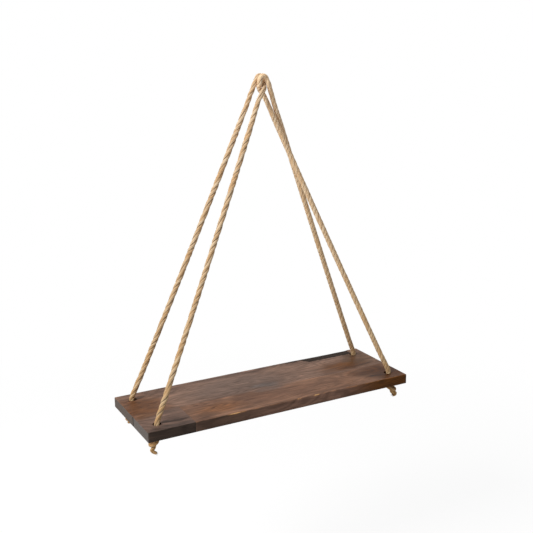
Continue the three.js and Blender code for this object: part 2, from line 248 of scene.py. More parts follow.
class Patches:
    """Points, faces and named values of one mesh, gathered grid by grid."""

    def __init__(self):
        self.points, self.quads, self.triangles = [], [], []
        self.values, self.uvs, self.normals, self.count = {}, [], [], 0

    def add(self, points, quads=None, triangles=None, uv=None, normals=None, **values):
        """Adds points with their faces, which count from this patch's own first point."""
        points = np.asarray(points, float).reshape(-1, 3)
        quads, triangles = faces_of(quads, 4), faces_of(triangles, 3)
        self.points.append(points)
        self.quads.append(quads + self.count)
        self.triangles.append(triangles + self.count)
        self.uvs.append(np.zeros((len(quads), 4, 2)) if uv is None else uv)
        if normals is not None:
            self.normals.append(np.asarray(normals).reshape(-1, 3))
        for name, value in values.items():
            spread = np.broadcast_to(value, len(points))
            self.values.setdefault(name, []).append((self.count, spread))
        self.count += len(points)

    def build(self, name, material):
        """Makes the object, smooth shaded, with a float attribute for each named value."""
        quads, triangles = np.vstack(self.quads), np.vstack(self.triangles)
        corners = np.r_[quads.ravel(), triangles.ravel()]
        sizes = np.r_[np.full(len(quads), 4), np.full(len(triangles), 3)]
        mesh = bpy.data.meshes.new(name)
        mesh.vertices.add(self.count)
        mesh.vertices.foreach_set("co", np.vstack(self.points).astype(np.float32).ravel())
        mesh.loops.add(len(corners))
        mesh.loops.foreach_set("vertex_index", corners.astype(np.int32))
        mesh.polygons.add(len(sizes))
        starts = np.r_[0, np.cumsum(sizes)[:-1]]
        mesh.polygons.foreach_set("loop_start", starts.astype(np.int32))
        uv = [u.reshape(-1, 2) for u in self.uvs] + [np.zeros((3 * len(triangles), 2))]
        lay = mesh.uv_layers.new(name="lay")
        lay.data.foreach_set("uv", np.concatenate(uv).astype(np.float32).ravel())
        for key, parts in self.values.items():
            values = np.zeros(self.count, np.float32)
            for start, part in parts:
                values[start:start + len(part)] = part
            mesh.attributes.new(key, "FLOAT", "POINT").data.foreach_set("value", values)
        mesh.polygons.foreach_set("use_smooth", np.ones(len(sizes), bool))
        mesh.materials.append(material)
        mesh.update(calc_edges=True)
        mesh.validate()
        if self.normals:
            normals = np.vstack(self.normals).astype(np.float32)
            mesh.normals_split_custom_set_from_vertices(normals.tolist())
        return link_object(name, mesh)


def ring_quads(rings, around):
    """Faces of a tube of rings, each with the same number of points around."""
    i, j = np.meshgrid(np.arange(rings - 1), np.arange(around), indexing="ij")
    here, after, k = i * around, (i + 1) * around, (j + 1) % around
    return np.stack([here + j, here + k, after + k, after + j], -1).reshape(-1, 4)


def waves(value, periods, seed):
    """The mean of a few sines with fixed random phases, from about -1 to 1."""
    phases = np.random.default_rng(seed).random(len(periods))
    sines = (np.sin(2 * np.pi * (value / p + phase)) for p, phase in zip(periods, phases))
    return sum(sines) / len(periods)


print("a tube of 3 rings with 8 points has", len(ring_quads(3, 8)), "faces")

# %% [markdown]
# ## Colours and nodes
# Colours are written as they look on a screen, and one function turns them into the linear values
# that a shader needs. One small function adds a node, and each material calls it `node`, with its
# own tree filled in, so that it reads as a list of steps. Two settings that come back often, a
# smooth ramp and a mix of colours, have names of their own.

# %% Node helpers
SMOOTH = {"interpolation_type": "SMOOTHSTEP"}
COLOURS = {"output": 2, "data_type": "RGBA"}


def screen_colour(text):
    """Linear colour of a screen colour such as "c8a880"."""
    values = [int(text[k:k + 2], 16) / 255 for k in (0, 2, 4)]
    return [v / 12.92 if v <= 0.04045 else ((v + 0.055) / 1.055) ** 2.4 for v in values] + [1.0]


def add_node(tree, kind, inputs=(), output=0, **settings):
    """Adds a node, sets its options, fills its inputs with numbers or links, returns an output.

    Inputs are a list, in the order of the node's sockets, or are given by name or number."""
    node = tree.nodes.new("ShaderNode" + kind)
    for key, value in settings.items():
        setattr(node, key, value)
    for key, value in inputs.items() if isinstance(inputs, dict) else enumerate(inputs):
        if isinstance(value, bpy.types.NodeSocket):
            tree.links.new(value, node.inputs[key])
        else:
            colour = isinstance(value, str)
            node.inputs[key].default_value = screen_colour(value) if colour else value
    return node.outputs[output] if node.outputs else None


def empty_material(name):
    """A material with no nodes yet, and its node tree."""
    material = bpy.data.materials.new(name)
    material.use_nodes = True
    material.node_tree.nodes.clear()
    return material, material.node_tree


print("c8a880 in linear light", [round(v, 3) for v in screen_colour("c8a880")])

# %% [markdown]
# ## Jute
# The ropes are laid jute: long brown plant fibres, spun into yarns, twisted into three strands, and
# the strands twisted into a rope. The eye sees no gloss, pale fibres where they stand out, and
# lines along the strands, and the grooves between the strands are painted a darker brown as painted
# shade. The `lay` map runs along the rope and across its strands, both in metres, and the noise
# scales below are cells per metre of it. Yarns of 1.1 mm and streaks of 1.5 mm are near the finest
# that shows in the picture, and single fibres of about 0.03 mm are drawn 0.4 mm wide, because finer
# ones wouldn't show. The painted groove shade fades in places, as grooves do where a strand is
# fluffy. The rope is darker and browner low down, and the right rope is painted lighter higher up,
# where the left rope shades it.

# %% Jute material
LOW_ROPE, TINT_Z = (0.82, 0.79, 0.72, 1), (-0.45, -0.05)
YARN, YARN_WANDER = 1.1 * MM, 7.0
YARN_RELIEF, FIBRE_RELIEF, JUTE_RELIEF = 0.35, 0.6, 0.22 * MM


def jute(name, light, middle, dark, groove_shade, pale="efe0c8", high_tint_and_light=(0.98, 0.98, 1.01, 1)):
    """Laid jute: pale fibres over a tan ground, painted shade in the grooves, tinted by height.

    Each layer is (value, where its tone starts, where it is full, its share, tone)."""
    material, tree = empty_material(name)
    node = partial(add_node, tree)
    lay = node("UVMap", uv_map="lay")
    noises = []
    for scale, detail, rough in (((110, 2600, 1), 5, 0.7), ((24, 650, 1), 3, 0.6),
                                 ((32, 150, 1), 3, 0.5)):
        place = node("Mapping", {"Vector": lay, "Scale": scale})
        noises.append(node("TexNoise", {"Vector": place, "Scale": 1, "Detail": detail,
                                        "Roughness": rough}))
    fibres, streaks, patches = noises
    across = node("SeparateXYZ", [lay], output="Y")
    wander = node("Math", [streaks, YARN_WANDER], operation="MULTIPLY")
    yarns = node("Math", [across, 2 * math.pi / YARN, wander], operation="MULTIPLY_ADD")
    yarns = node("Math", [yarns], operation="SINE")
    colour = node("MapRange", [patches, 0.36, 0.66], **SMOOTH)
    colour = node("Mix", {0: colour, 6: middle, 7: light}, **COLOURS)
    groove = node("Attribute", output="Fac", attribute_name="groove")
    faint = node("MapRange", [patches, 0.38, 0.6, 0.5, 1.05])
    groove = node("Math", [groove, faint], operation="MULTIPLY")
    # The last layer paints shade into the grooves between the strands.
    for value, low, high, share, tone in (
            (streaks, 0.55, 0.78, 0.45, pale), (streaks, 0.46, 0.24, 0.45, dark),
            (fibres, 0.55, 0.78, 0.14, pale), (fibres, 0.47, 0.25, 0.14, dark),
            (yarns, -0.2, -1.0, 0.2, dark), (groove, 0.28, 0.95, 0.95, groove_shade)):
        mask = node("MapRange", [value, low, high, 0.0, share], **SMOOTH)
        colour = node("Mix", {0: mask, 6: colour, 7: tone}, **COLOURS)
    # Tint by height: darker and browner low down, and higher up the right rope is painted lighter,
    # standing in for light that the left rope keeps from it.
    height = node("SeparateXYZ", [node("TexCoord", output="Object")], output="Z")
    height = node("MapRange", [height, *TINT_Z])
    height_tint_and_light = node("Mix", {0: height, 6: LOW_ROPE, 7: high_tint_and_light}, **COLOURS)
    colour = node("Mix", {0: 1.0, 6: colour, 7: height_tint_and_light}, blend_type="MULTIPLY", **COLOURS)
    relief = node("Math", [yarns, YARN_RELIEF], operation="MULTIPLY")
    relief = node("Math", [fibres, FIBRE_RELIEF, relief], operation="MULTIPLY_ADD")
    bump = node("Bump", {"Height": relief, "Distance": JUTE_RELIEF, "Strength": 0.8})
    surface = node("BsdfPrincipled", {
        "Base Color": colour, "Normal": bump, "Roughness": 0.95, "Specular IOR Level": 0.05,
        "Sheen Weight": 0.1, "Sheen Roughness": 0.5})
    node("OutputMaterial", {"Surface": surface})
    return material


# The right rope's jute is a lighter copy of the left's, painted lighter because less of the left
# light reaches it.
rope_jute = {
    "left": jute("laid_jute_open", "efd5b1", "d9b284", "966840", "5c3a1d", "f8ead2"),
    "right": jute("laid_jute_close_painted_lighter", "f6dcb6", "e5c092", "b98c5e", "9c7046", "f8e8d0",
                  (1.16, 1.18, 1.26, 1)),
}
# The knots' jute is a darker, browner copy of the rope's: painted shade for the board's shadow over
# the knots.
shaded_knot_jute = jute("knotted_jute_painted_shade", "e6c497", "cfa270", "9c6e42", "704b28")
cut_jute = jute("cut_jute_fibre", "dfba88", "c8995f", "8f6238", "6c4622")
print("jute materials", [m.name for m in rope_jute.values()], shaded_knot_jute.name, cut_jute.name)

# %% [markdown]
# ## Laid rope
# A laid rope's three strands lie side by side in a long screw. It could be three separate tubes,
# but one closed surface with three lobes has no hidden faces inside and costs a third as much. Its
# points run along the strands, so the grooves between them stay sharp. The left rope was let
# untwist a little while it was tied, so its strands lie longer than the right one's.

# %% Frames and strands
LAY_PITCH = {"left": 42 * MM, "right": 26 * MM}
GROOVE_DEPTH, KNOT_GROOVE = {"left": 0.25, "right": 0.10}, 0.10
PER_STRAND, STRANDS, CROWD_GROOVES, LOBE_POWER = 14, 3, 0.4, 0.7
LAY_WANDER, WANDER_PERIODS = 1.3, (190 * MM, 83 * MM, 47 * MM)
STRAND_SWELL, SWELL_PERIODS = 0.04, (53 * MM, 19 * MM, 7.3 * MM)
FRAME_START = np.array((0.3, 1.0, 0.2))
STRAND_TURN = 2 * math.pi / STRANDS


def unit(vectors):
    """The same directions with length one."""
    return vectors / (np.linalg.norm(vectors, axis=-1, keepdims=True) + 1e-12)


def carried_frames(centres):
    """Directions across a route that turn with it and never spin about it.

    A fixed direction, made square to the route, gives first frames. The angle by which each of
    them spins against the one before is measured, and the running sum is turned back."""
    tangents = unit(np.gradient(centres, axis=0))
    first = unit(FRAME_START - tangents * (tangents @ FRAME_START)[:, None])
    second = np.cross(tangents, first)
    spin = np.arctan2((first[1:] * second[:-1]).sum(1), (first[1:] * first[:-1]).sum(1))
    turn = np.r_[0, np.cumsum(spin)][:, None]
    across = first * np.cos(turn) - second * np.sin(turn)
    return tangents, across, np.cross(tangents, across)


def rays(across, aside, angle):
    """Directions across a route at an angle: across cos a + aside sin a."""
    return across * np.cos(angle)[..., None] + aside * np.sin(angle)[..., None]


def lobe_angles():
    """Angles round the rope, strand by strand, closer together at the grooves."""
    u = np.linspace(-1, 1, PER_STRAND, endpoint=False)
    d = STRAND_TURN / 2 * (u + CROWD_GROOVES * np.sin(math.pi * u) / math.pi)
    return np.concatenate([d + k * STRAND_TURN for k in range(STRANDS)]), np.tile(d, STRANDS)


def laid_rope(centres, along, radius, seed, side, depth):
    """Points, lay map, groove values and normals of a laid rope.

    Point = centre + r ray(a), where a turns once in each pitch along the rope. The radius is
    r = R (1 - g + g cos(1.5 d)^0.7), where d is the angle from the middle of a strand and g the
    groove's depth, and each strand swells and shrinks a little along its way."""
    _, across, aside = carried_frames(centres)
    angles, from_middle = lobe_angles()
    wander = LAY_WANDER * waves(along, WANDER_PERIODS, seed + 7)
    turn = angles[None, :] + 2 * math.pi * along[:, None] / LAY_PITCH[side] + wander[:, None]
    lobe = np.maximum(np.cos(STRANDS / 2 * from_middle), 0) ** LOBE_POWER
    swell = np.stack([waves(along, SWELL_PERIODS, seed + k) for k in range(STRANDS)])
    swell = np.repeat(swell, PER_STRAND, axis=0).T
    radius = np.broadcast_to(radius, along.shape)[:, None]
    reach = radius * (1 - depth + depth * lobe[None, :]) * (1 + STRAND_SWELL * swell)
    ray = rays(across[:, None], aside[:, None], turn)
    points = centres[:, None] + reach[..., None] * ray
    round_it = np.roll(points, -1, axis=1) - np.roll(points, 1, axis=1)
    normals = unit(np.cross(round_it, np.gradient(points, axis=0)))
    normals *= np.sign((normals * ray).sum(2, keepdims=True) + 1e-9)
    v = np.r_[angles, angles[0] + 2 * math.pi][None, :] * ROPE / 2
    lay_map = np.stack(np.broadcast_arrays(along[:, None], v), -1)
    return points, lay_map, np.broadcast_to(1 - lobe, reach.shape), normals


print("points round a rope", len(lobe_angles()[0]))

# %% [markdown]
# ### Ends and loose fibres
# Each stretch of rope is closed by a flat cap, so that it is a solid body. Real jute is hairy: fine
# fibres stand out all along it. A hair system could grow them, but a few hundred thin tubes are
# plain mesh that every program reads. A real one is 0.03 mm thick and is drawn 0.12 mm thick,
# because a finer one wouldn't show.

# %% Rope ends and loose fibres
FIBRE_LONGEST, FIBRE_RADIUS, FIBRE_ROOT, CAP_GROOVE = 6 * MM, 0.06 * MM, 0.85, 0.6
FIBRE_LENGTHS, FIBRE_LIFTS, FIBRE_POINTS, FIBRE_TAPER = (0.35, 0.65), (0.15, 0.45), 5, 0.75


def add_rope(patches, points, lay_map, groove, normals):
    """Adds a stretch of rope as a closed tube, with a flat cap of triangles at each end."""
    rings, around = points.shape[:2]
    i, j = np.meshgrid(np.arange(rings - 1), np.arange(around), indexing="ij")
    uv = np.stack([lay_map[i, j], lay_map[i, j + 1], lay_map[i + 1, j + 1], lay_map[i + 1, j]], 2)
    patches.add(points, ring_quads(rings, around), uv=uv, normals=normals, groove=groove.ravel())
    for ring, inward in ((0, 1), (-1, -1)):
        middle = points[ring].mean(0)
        k = np.arange(around)
        fan = np.stack([k, (k + 1) % around, np.full(around, around)], 1)[:, ::-inward]
        facing = np.tile(unit(middle - points[ring + inward].mean(0)), (around + 1, 1))
        cap = np.vstack([points[ring], middle])
        patches.add(cap, triangles=fan, normals=facing, groove=CAP_GROOVE)


def stray_fibres(centres, along, radius, spacing, seed, longest=FIBRE_LONGEST):
    """Fine fibres that leave the rope's surface and bend back towards its way, each a thin tube.

    Fibre = start + length (t way + lift (t - 0.6 t^2) out + bend t^2 aside), t from 0 to 1."""
    local = np.random.default_rng(seed)
    count = max(1, int((along[-1] - along[0]) / spacing))
    tangents, across, side = carried_frames(centres)
    k = local.integers(0, len(centres), count)
    out = rays(across[k], side[k], local.random(count) * 2 * math.pi)
    aside = np.cross(tangents[k], out)
    way = tangents[k] * np.where(local.random(count) < 0.5, -1, 1)[:, None]
    length, lift = ((least + spread * local.random(count))[:, None, None]
                    for least, spread in (FIBRE_LENGTHS, FIBRE_LIFTS))
    bend = (local.random(count) - 0.5)[:, None, None]
    t = np.linspace(0, 1, FIBRE_POINTS)[None, :, None]
    start = centres[k] + out * np.broadcast_to(radius, len(centres))[k][:, None] * FIBRE_ROOT
    sideways = lift * (t - 0.6 * t**2) * out[:, None] + bend * t**2 * aside[:, None]
    path = start[:, None] + longest * length * (t * way[:, None] + sideways)
    thin = FIBRE_RADIUS * (1 - FIBRE_TAPER * t[..., 0])
    ring = np.stack([out, -0.5 * out + 0.87 * aside, -0.5 * out - 0.87 * aside], 1)
    return path[:, :, None] + ring[:, None] * thin[..., None, None]


def add_fibres(patches, fibres):
    """Adds each fibre as a closed three-sided tube."""
    count, rings = fibres.shape[:2]
    last = 3 * rings - 1
    caps = np.array([[0, 1, 2], [last, last - 1, last - 2]])
    shift = (np.arange(count) * rings * 3)[:, None, None]
    out = unit((fibres - fibres.mean(2, keepdims=True)).reshape(-1, 3))
    quads = (ring_quads(rings, 3)[None, :, ::-1] + shift).reshape(-1, 4)
    patches.add(fibres, quads, (caps[None] + shift).reshape(-1, 3), normals=out, groove=0.0)


print("longest fibre", FIBRE_LONGEST, "m")

# %% [markdown]
# ## The ropes' stretches
# On the real shelf each rope is one piece. Here it is one surface too, but cut where the CAD model
# cuts it, so that the part over the hook can stay while the shelf swings. Neighbouring stretches
# share a ring of points and its normals, so no cut shows. The loop and the necks below it stay in
# place, and the legs ride on the shelf. Near the hook the rope is drawn a little thinner, because
# there it is pressed, and at its ends it narrows towards the knots.

# %% Rope stretches
BIGHT_HALF, NECK = 14 * MM, 13 * MM
HOOK_THIN, THIN_Z, FULLER_Z, FULLER_SHARE = 0.13, (-75 * MM, -25 * MM), (-14 * MM, -4 * MM), 0.6
LEG_RING, HOOK_RING, END_TAPER, ROPE_FIBRES = 1.0 * MM, 0.55 * MM, 7 * MM, 2.4 * MM
STRETCHES = ("back_leg", "back_lower_neck", "back_upper_neck", "rope_bight", "front_upper_neck",
             "front_lower_neck", "front_leg")
BLENDS = {
    "rope_bight": ("hook_bights", "upper_necks", 0.5 * MM, -4.0 * MM),
    "upper_neck": ("upper_necks", "lower_necks", -7.5 * MM, -15.5 * MM),
    "lower_neck": ("lower_necks", "shelf", -20.5 * MM, -28.0 * MM),
}


def rope_marks(curve):
    """Lengths along a rope at which its pieces meet, from the back hole to the front hole."""
    along = lengths_along(curve)
    top = along[np.argmax(curve[:, 2])]
    steps = BIGHT_HALF + CUT / 2 + np.array([0, NECK + CUT / 2, 2 * NECK + 3 * CUT / 2])
    return np.r_[0, top - steps[::-1], top + steps, along[-1]]


def rope_stations(marks):
    """Lengths at which rings stand: every millimetre on the legs and closer near the hook."""
    legs = [name.endswith("leg") for name in STRETCHES]
    steps = np.round(np.diff(marks) / np.where(legs, LEG_RING, HOOK_RING)).astype(int)
    parts = [np.linspace(a, b, n + 1)[1:] for a, b, n in zip(marks[:-1], marks[1:], steps)]
    return np.r_[marks[0], np.concatenate(parts)], np.r_[0, np.cumsum(steps)]


rope_pieces, rope_routes = {}, {}


def rope_piece(patches, node, material):
    """Builds the piece for a CAD node, which moves with the shelf or, near the hook, stays in
    place.
    """
    piece = rope_pieces[node] = patches.build(f"rope_{node}", material)
    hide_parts(node)
    for part, (first, second, high, low) in BLENDS.items():
        if node.endswith(part):
            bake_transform(piece)
            return
    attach(piece, "shelf")


for number, (side, curve) in enumerate(curves.items()):
    stations, firsts = rope_stations(rope_marks(curve))
    centres = at_lengths(curve, stations)
    z = centres[:, 2]
    near_end = np.minimum(stations - stations[0], stations[-1] - stations)
    radius = ROPE / 2 - (ROPE - KNOT_ROPE) / 2 * smooth_step(-near_end, -END_TAPER, 0)
    near_hook = smooth_step(z, *THIN_Z) - FULLER_SHARE * smooth_step(z, *FULLER_Z)
    radius = radius * (1 - HOOK_THIN * near_hook)
    surface = laid_rope(centres, stations, radius, 100 * number, side, GROOVE_DEPTH[side])
    for k, stretch in enumerate(STRETCHES):
        part = slice(firsts[k], firsts[k + 1] + 1)
        node = f"{side}_{stretch}"
        patches = Patches()
        add_rope(patches, *[v[part] for v in surface])
        add_fibres(patches, stray_fibres(centres[part], stations[part], radius[part],
                                         ROPE_FIBRES, 10 * number + k))
        rope_piece(patches, node, rope_jute[side])
        rope_routes[node] = centres[part]
print("rope stretches", len(rope_pieces))

# %% [markdown]
# ## Stopper knots
# Under each hole the rope is tied in an overhand knot, so that it can't slip out. A knot could be
# sculpted, but its form is simple to write down: one half is a turn that closes up and dives back
# through its own middle, and the other half is the same turn rotated half over. The rope is pulled
# thin there, is a little fuller inside the knot than where it leaves its hole, and its turns press
# on each other.

# %% Knot routes
KNOT = dict(width=1.09, depth=1.17, rise=1.07, pitch=0.79, tighten=0.7, lead=1.76, leave=0.81,
            arrive=1.8)
KNOT_TURN, KNOT_LATE = 253, 150
TURN_POINTS, LEAD_POINTS, SLOPE_STEP, KNOT_STEPS = 15, 5, 1 / 196, 12


def knot_turn(degrees):
    """x = -w g cos a, y = d g sin a, z = r sin(p a), where g falls from 1 late in the turn."""
    late = np.maximum(0, degrees - KNOT_LATE) / (KNOT_TURN - KNOT_LATE)
    reach = 1 - KNOT["tighten"] * late**2
    angle, climb = np.radians(degrees), np.radians(degrees * KNOT["pitch"])
    return np.stack([-KNOT["width"] * reach * np.cos(angle), KNOT["depth"] * reach * np.sin(angle),
                     KNOT["rise"] * np.sin(climb)], -1)


def bezier(t, first, second, third, last):
    """Cubic Bezier curve: four points weighted by (1-t)^3, 3t(1-t)^2, 3t^2(1-t) and t^3."""
    s = 1 - t
    return s**3 * first + 3 * s**2 * t * second + 3 * s * t**2 * third + t**3 * last


def knot_half():
    """The turn, and the lead from its end down to the knot's axis, a Bezier curve."""
    turn = knot_turn(np.linspace(0, KNOT_TURN, TURN_POINTS))
    slope = unit(turn[-1] - knot_turn(np.array([KNOT_TURN * (1 - SLOPE_STEP)]))[0])
    end = np.array([0, 0, -KNOT["lead"]])
    third = np.linalg.norm(end - turn[-1]) / 3
    t = np.linspace(0, 1, LEAD_POINTS)[1:, None]
    return np.vstack([turn, bezier(t, turn[-1], turn[-1] + slope * third * KNOT["leave"],
                                   end + (0, 0, third * KNOT["arrive"]), end)])


def knot_curve(corner):
    """The whole knot under one corner's hole, from inside the hole to where the cut end begins."""
    lower = knot_half()
    upper = (lower[1:] * (1, -1, -1))[::-1]
    c, s = math.cos(math.radians(corner["turn"])), math.sin(math.radians(corner["turn"]))
    turned = np.vstack([upper, lower]) * KNOT_SPACING @ np.array([[c, s, 0], [-s, c, 0], [0, 0, 1]])
    centre_z = BOTTOM_Z - CUT - KNOT["rise"] * KNOT_SPACING - KNOT_ROPE / 2
    points = np.vstack([in_hole(corner, LEG_END_Z - CUT), turned + in_hole(corner, centre_z)])
    points[:, 0] += corner["slant"] * np.maximum(0, BOTTOM_Z - points[:, 2])
    return smooth_curve(points, steps=KNOT_STEPS)


knot_curves = {name: knot_curve(corner) for name, corner in CORNERS.items()}
print("rope in a knot", round(lengths_along(knot_curves["left_front"])[-1], 4), "m")

# %% Knot pieces
KNOT_RING, KNOT_FIBRES = 0.6 * MM, 1.6 * MM
KNOT_FULLER, KNOT_FULLER_FROM = 1.07, (4 * MM, 10 * MM)
for number, (name, curve) in enumerate(knot_curves.items()):
    total = lengths_along(curve)[-1]
    stations = np.linspace(0, total, int(total / KNOT_RING))
    centres = at_lengths(curve, stations)
    fuller = 1 + (KNOT_FULLER - 1) * smooth_step(stations, *KNOT_FULLER_FROM)
    radius = KNOT_ROPE / 2 * fuller
    patches = Patches()
    surface = laid_rope(centres, stations, radius, 300 + number, name.split("_")[0], KNOT_GROOVE)
    add_rope(patches, *surface)
    add_fibres(patches, stray_fibres(centres, stations, radius, KNOT_FIBRES, 50 + number))
    rope_piece(patches, f"{name}_knot", shaded_knot_jute)
print("knots", len(knot_curves))

# %% [markdown]
# ## Cut ends
# Below each knot about 10 mm of rope is left. Nothing binds it, so its three strands turn apart and
# loose fibres stand out of the cut. Here the strands are three tubes of their own, because the gaps
# between them are what the eye reads as a cut end. The front left end stayed closed and tapers.

# %% Cut ends
TAIL_TURN, TAIL_REACH, TAIL_RINGS, STRAND_SIDES = 3.8 * MM, 9 * MM, 26, 16
LATE_RING, END_RING = 14, TAIL_RINGS - 3
STRAND_OUT, OUT_OPENS, STRAND_THICK, THICK_GROWS, THICK_ROOT = 0.26, 0.10, 0.29, 0.05, 0.04
STRAND_ROUGH, CUT_FROM, CUT_THICK = 0.05, 0.97, 0.82
LATE_FIBRES = dict(radius=KNOT_ROPE * 0.42, spacing=0.15 * MM, longest=4 * MM)
END_FIBRES = dict(radius=KNOT_ROPE * 0.25, spacing=0.02 * MM, longest=3 * MM)


def strand_tube(centre, across, aside, angle, offset, thick, seed):
    """One strand of an opened end: point = centre + offset ray(angle) + thick rough ray(turn)."""
    middle = centre + rays(across, aside, angle) * offset[:, None]
    turn = np.linspace(0, 2 * math.pi, STRAND_SIDES, endpoint=False)[None]
    bumps = np.random.default_rng(seed).standard_normal((len(centre), STRAND_SIDES))
    reach = thick[:, None] * (1 + STRAND_ROUGH * bumps)
    return middle[:, None] + rays(across[:, None], aside[:, None], turn) * reach[..., None]


for number, (name, corner) in enumerate(CORNERS.items()):
    knot_end = knot_curves[name][-1]
    onward = knot_end + TAIL_TURN * np.array((corner["slant"], 0, -1))
    bend, end = (knot_end + np.array(corner[key]) * TAIL_REACH for key in ("bend", "end"))
    centres = bezier(np.linspace(0, 1, TAIL_RINGS)[:, None], knot_end, onward, bend, end)
    along = lengths_along(centres)
    share = along / along[-1]
    _, across, aside = carried_frames(centres)
    turned = lengths_along(knot_curves[name])[-1] + along
    turned = 2 * math.pi * turned / LAY_PITCH[name.split("_")[0]]
    offset = KNOT_ROPE * (STRAND_OUT + OUT_OPENS * corner["splay"] * share**2)
    thick = STRAND_THICK + THICK_GROWS * corner["splay"] * share + THICK_ROOT * (1 - share)**2
    thick = KNOT_ROPE * thick * np.where(share > CUT_FROM, CUT_THICK, 1)
    v = np.arange(STRAND_SIDES + 1)[None] * YARN
    lay_map = np.stack(np.broadcast_arrays(along[:, None], v), -1)
    patches = Patches()
    for k in range(STRANDS):
        points = strand_tube(centres, across, aside, turned + k * STRAND_TURN, offset, thick,
                             70 + 3 * number + k)
        normals = unit(points - points.mean(1, keepdims=True))
        add_rope(patches, points, lay_map, np.zeros(points.shape[:2]), normals)
    for first, seed, fibres in ((LATE_RING, 90, LATE_FIBRES), (END_RING, 95, END_FIBRES)):
        loose = stray_fibres(centres[first:], along[first:], seed=seed + number, **fibres)
        add_fibres(patches, loose)
    rope_piece(patches, f"{name}_tail", cut_jute)
print("cut ends", len(CORNERS))

# %% [markdown]
# ## Lengths of the legs
# Each leg is a real length of taut rope, from the neck under the hook to its knot. Its length along
# its route is printed.

# %% Lengths of the legs
for name in CORNERS:
    route = rope_routes[f"{name}_leg"]
    route = route if route[0][2] > route[-1][2] else route[::-1]
    length = lengths_along(route)[-1]
    print(name, "leg", round(length, 4), "m")

# %% [markdown]
# ## Board
# The board is glued up from three staves, planed, bored and stained. A box would do from afar, but
# up close the eye wants its thin worn arrises, the rounded rims of the holes, and the low rough
# strip along the back edge that the planer missed. So each stave is one closed mesh: a grid on top
# and underneath, rings of points round each hole, and rows of points that go round the edge. The
# strip lies where the CAD model has it, but is a little wider, with a ragged border of its own.

# %% Board surface
ARRIS, GLUE_ARRIS = 0.8 * MM, 0.12 * MM
HOLE_HALF, HOLE_STEPS, HOLE_RIM = 9 * MM, 12, 0.4 * MM
STRIP_LENGTH, STRIP_WIDTH, STRIP_DEPTH = 122 * MM, 18.5 * MM, 0.9 * MM
STRIP_WIDTHS = ((0, 0.25, 0.32, 1), (0.12, 0.25, 0.97, 1))
STRIP_DEPTHS = ((0, 0.2, 0.4, 0.7, 1), (0.25, 0.5, 0.8, 1, 0.9))
STRIP_RAGGED, RAGGED_PERIODS, STRIP_STEP = 0.7 * MM, (23 * MM, 9 * MM, 5 * MM), 0.9 * MM
STRIP_LEFT, STRIP_RIGHT = (-2 * MM, 6 * MM), (-2 * MM, 1.5 * MM)
MARK_WANDER, MARKS_ALONG, MARKS_ACROSS = 0.4 * MM, 0.10 * MM, 0.06 * MM


def grid_lines(low, high, step, stops):
    """Grid lines from low to high, at most a step apart, with bands that have their own lines.

    Each stop is (from, to, count or step) of a band that is divided on its own."""
    lines = [low]
    for first, last, divide in sorted(stops) + [(high, high, 0)]:
        if first > lines[-1] + 1e-6:
            count = max(1, math.ceil((first - lines[-1]) / step))
            lines.extend(np.linspace(lines[-1], first, count + 1)[1:])
        if last > first:
            count = divide if isinstance(divide, int) else math.ceil((last - first) / divide)
            lines.extend(np.linspace(first, last, count + 1)[1:])
    return np.array(lines)


def missed_depth(x, y):
    """How deep the missed strip lies, and where it is: a shallow ramp down to the back edge, with
    fine saw marks along it, inside a wavering border that narrows towards the left."""
    start, end = HOLE_X - STRIP_LENGTH, HOLE_X
    along = np.clip((x - start) / (end - start), 0, 1)
    inner = HALF_DEPTH - STRIP_WIDTH * np.interp(along, *STRIP_WIDTHS)
    inner = inner + STRIP_RAGGED * waves(x, RAGGED_PERIODS, 31)
    inside = smooth_step(y - inner, 0, STRIP_STEP) * smooth_step(x - start, *STRIP_LEFT)
    inside = inside * (1 - smooth_step(x - end, *STRIP_RIGHT))
    ramp = STRIP_DEPTH * (0.3 + 0.6 * np.clip((y - inner) / STRIP_WIDTH, 0, 1))
    wander = MARK_WANDER * waves(x, (60 * MM, 27 * MM), 33)
    marks = MARKS_ALONG * waves(y + wander, (2.1 * MM, 1.3 * MM, 3.4 * MM), 32)
    marks = marks + MARKS_ACROSS * waves(x, (3.7 * MM, 2.3 * MM, 6.1 * MM), 34)
    return inside * (ramp * np.interp(along, *STRIP_DEPTHS) + marks), inside


def top_height(x, y, depth):
    """Height of the planed top, a little uneven, less the depth of the strip where it lies."""
    along = 0.05 * MM * waves(x + 0.3 * y, (67 * MM, 29 * MM), 35)
    return TOP_Z - depth + along + 0.03 * MM * waves(y, (17 * MM, 41 * MM), 36)


deepest = missed_depth(np.linspace(0, HOLE_X, 200), HALF_DEPTH - ARRIS)[0].max()
print("deepest place of the missed strip", round(deepest / MM, 2), "mm")

# %% [markdown]
# ### Wear along the front arris
# The front top arris is knocked and rubbed in places. Each mark is (place along X in mm, half
# length in mm, how worn). The value goes into the mesh, where it takes wood away, and into the
# material, where it shows bare wood.

# %% Wear
WEAR = ((-143, 3, 0.7), (-131, 4, 0.5), (-118, 7, 0.6), (-93, 4, 0.9), (-82, 9, 0.95),
        (-70, 4, 0.8), (-52, 10, 0.5), (-20, 14, 0.55), (4, 7, 0.5), (20, 4.5, 0.9), (50, 6, 1.0),
        (64, 3, 0.5), (78, 8, 0.5), (112, 14, 0.5), (150, 18, 0.5), (188, 14, 0.55))
WEAR_REACH, WEAR_UNEVEN, WEAR_PERIODS = 1.3 * MM, 0.12, (11 * MM, 5 * MM, 3 * MM)


def front_wear(x):
    """How worn the arris is at x, from 0 to 1: a sum of flat-topped spots exp(-((x - c) / w)^4)."""
    spots = sum(h * np.exp(-np.abs((x / MM - c) / w) ** 4) for c, w, h in WEAR)
    return np.clip(spots + WEAR_UNEVEN * waves(x, WEAR_PERIODS, 37), 0, 1)


mean_wear = front_wear(np.linspace(-HALF_LENGTH, HALF_LENGTH, 400)).mean()
print("mean wear of the front arris", round(float(mean_wear), 2))

